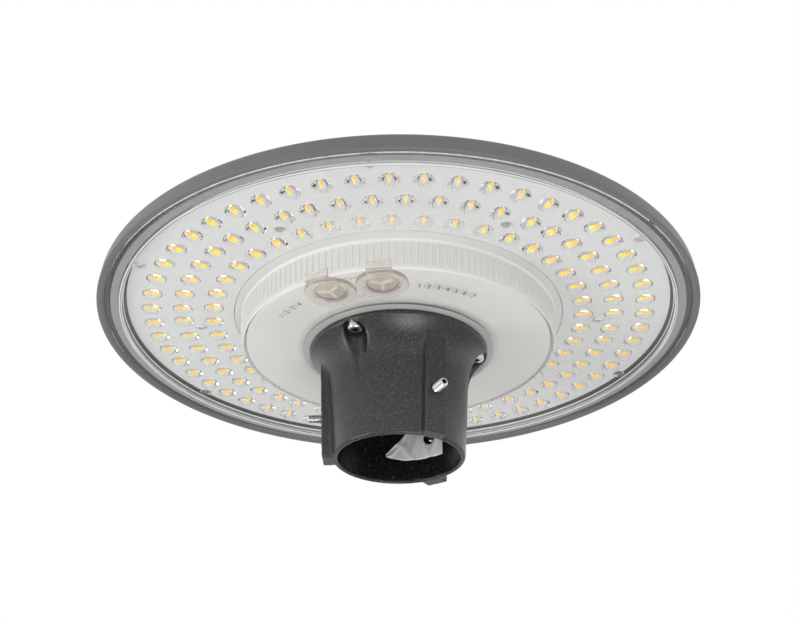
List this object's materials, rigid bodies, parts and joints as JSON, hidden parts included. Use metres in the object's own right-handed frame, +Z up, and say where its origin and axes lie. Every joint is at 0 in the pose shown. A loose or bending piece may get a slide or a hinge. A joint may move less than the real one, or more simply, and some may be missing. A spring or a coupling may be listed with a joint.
{
  "type": "post-top street light head",
  "caption": "Round flat LED street light head for a post top, with a ring of lenses and a clamping socket.",
  "frame": {"origin": "centre of the post socket's mouth, which is the lowest point", "axes": "+Z up out of the socket towards the housing, -Y front, +X right"},
  "size_m": [0.4, 0.4, 0.1478],
  "materials": {
    "housing_paint": "satin",
    "seal_silicone": "matte",
    "clear_cover": "gloss",
    "board_white": "satin",
    "led_warm": "gloss",
    "led_cool": "gloss",
    "steel": "satin",
    "tray_white": "matte",
    "driver_case": "satin",
    "surge_blue": "matte",
    "terminal_plastic": "matte",
    "switch_black": "matte",
    "dial_plastic": "gloss",
    "cap_silicone": "satin",
    "gland_plastic": "matte",
    "adapter_paint": "satin",
    "gasket_rubber": "matte",
    "label_paper": "matte"
  },
  "bodies": {
    "head": {"dome_housing": "housing_paint", "rim_seal": "seal_silicone", "lens_cover": "clear_cover", "led_board": "board_white", "warm_leds": "led_warm", "cool_leds": "led_cool", "board_screws": "steel", "driver_tray": "tray_white", "driver": "driver_case", "driver_screws": "steel", "surge_protector": "surge_blue", "terminal_block": "terminal_plastic", "power_selector": "switch_black", "colour_selector": "switch_black", "selector_caps": "cap_silicone", "cable_gland": "gland_plastic", "post_adapter": "adapter_paint", "adapter_gasket": "gasket_rubber", "adapter_screws": "steel", "blank_label": "label_paper"},
    "clamp_right": {"clamp_screw_right": "steel"},
    "clamp_rear": {"clamp_screw_rear": "steel"},
    "clamp_left": {"clamp_screw_left": "steel"},
    "power_dial": {"power_dial": "dial_plastic"},
    "colour_dial": {"colour_dial": "dial_plastic"}
  },
  "joints": [
    {"name": "clamp_screw_right", "type": "slide", "parent": "head", "child": "clamp_right", "axis": [-0.4695, 0.8829, 0], "range_m": [-0.004, 0.008]},
    {"name": "clamp_screw_rear", "type": "slide", "parent": "head", "child": "clamp_rear", "axis": [-0.5299, -0.848, 0], "range_m": [-0.004, 0.008]},
    {"name": "clamp_screw_left", "type": "slide", "parent": "head", "child": "clamp_left", "axis": [0.9994, -0.0349, 0], "range_m": [-0.004, 0.008]},
    {"name": "power_dial_turn", "type": "hinge", "parent": "head", "child": "power_dial", "pos_m": [-0.04147, -0.07965, 0.078], "axis": [0, 0, 1], "range_deg": [-45, 45]},
    {"name": "colour_dial_turn", "type": "hinge", "parent": "head", "child": "colour_dial", "pos_m": [-0.0097, -0.08927, 0.078], "axis": [0, 0, 1], "range_deg": [-45, 45]}
  ]
}
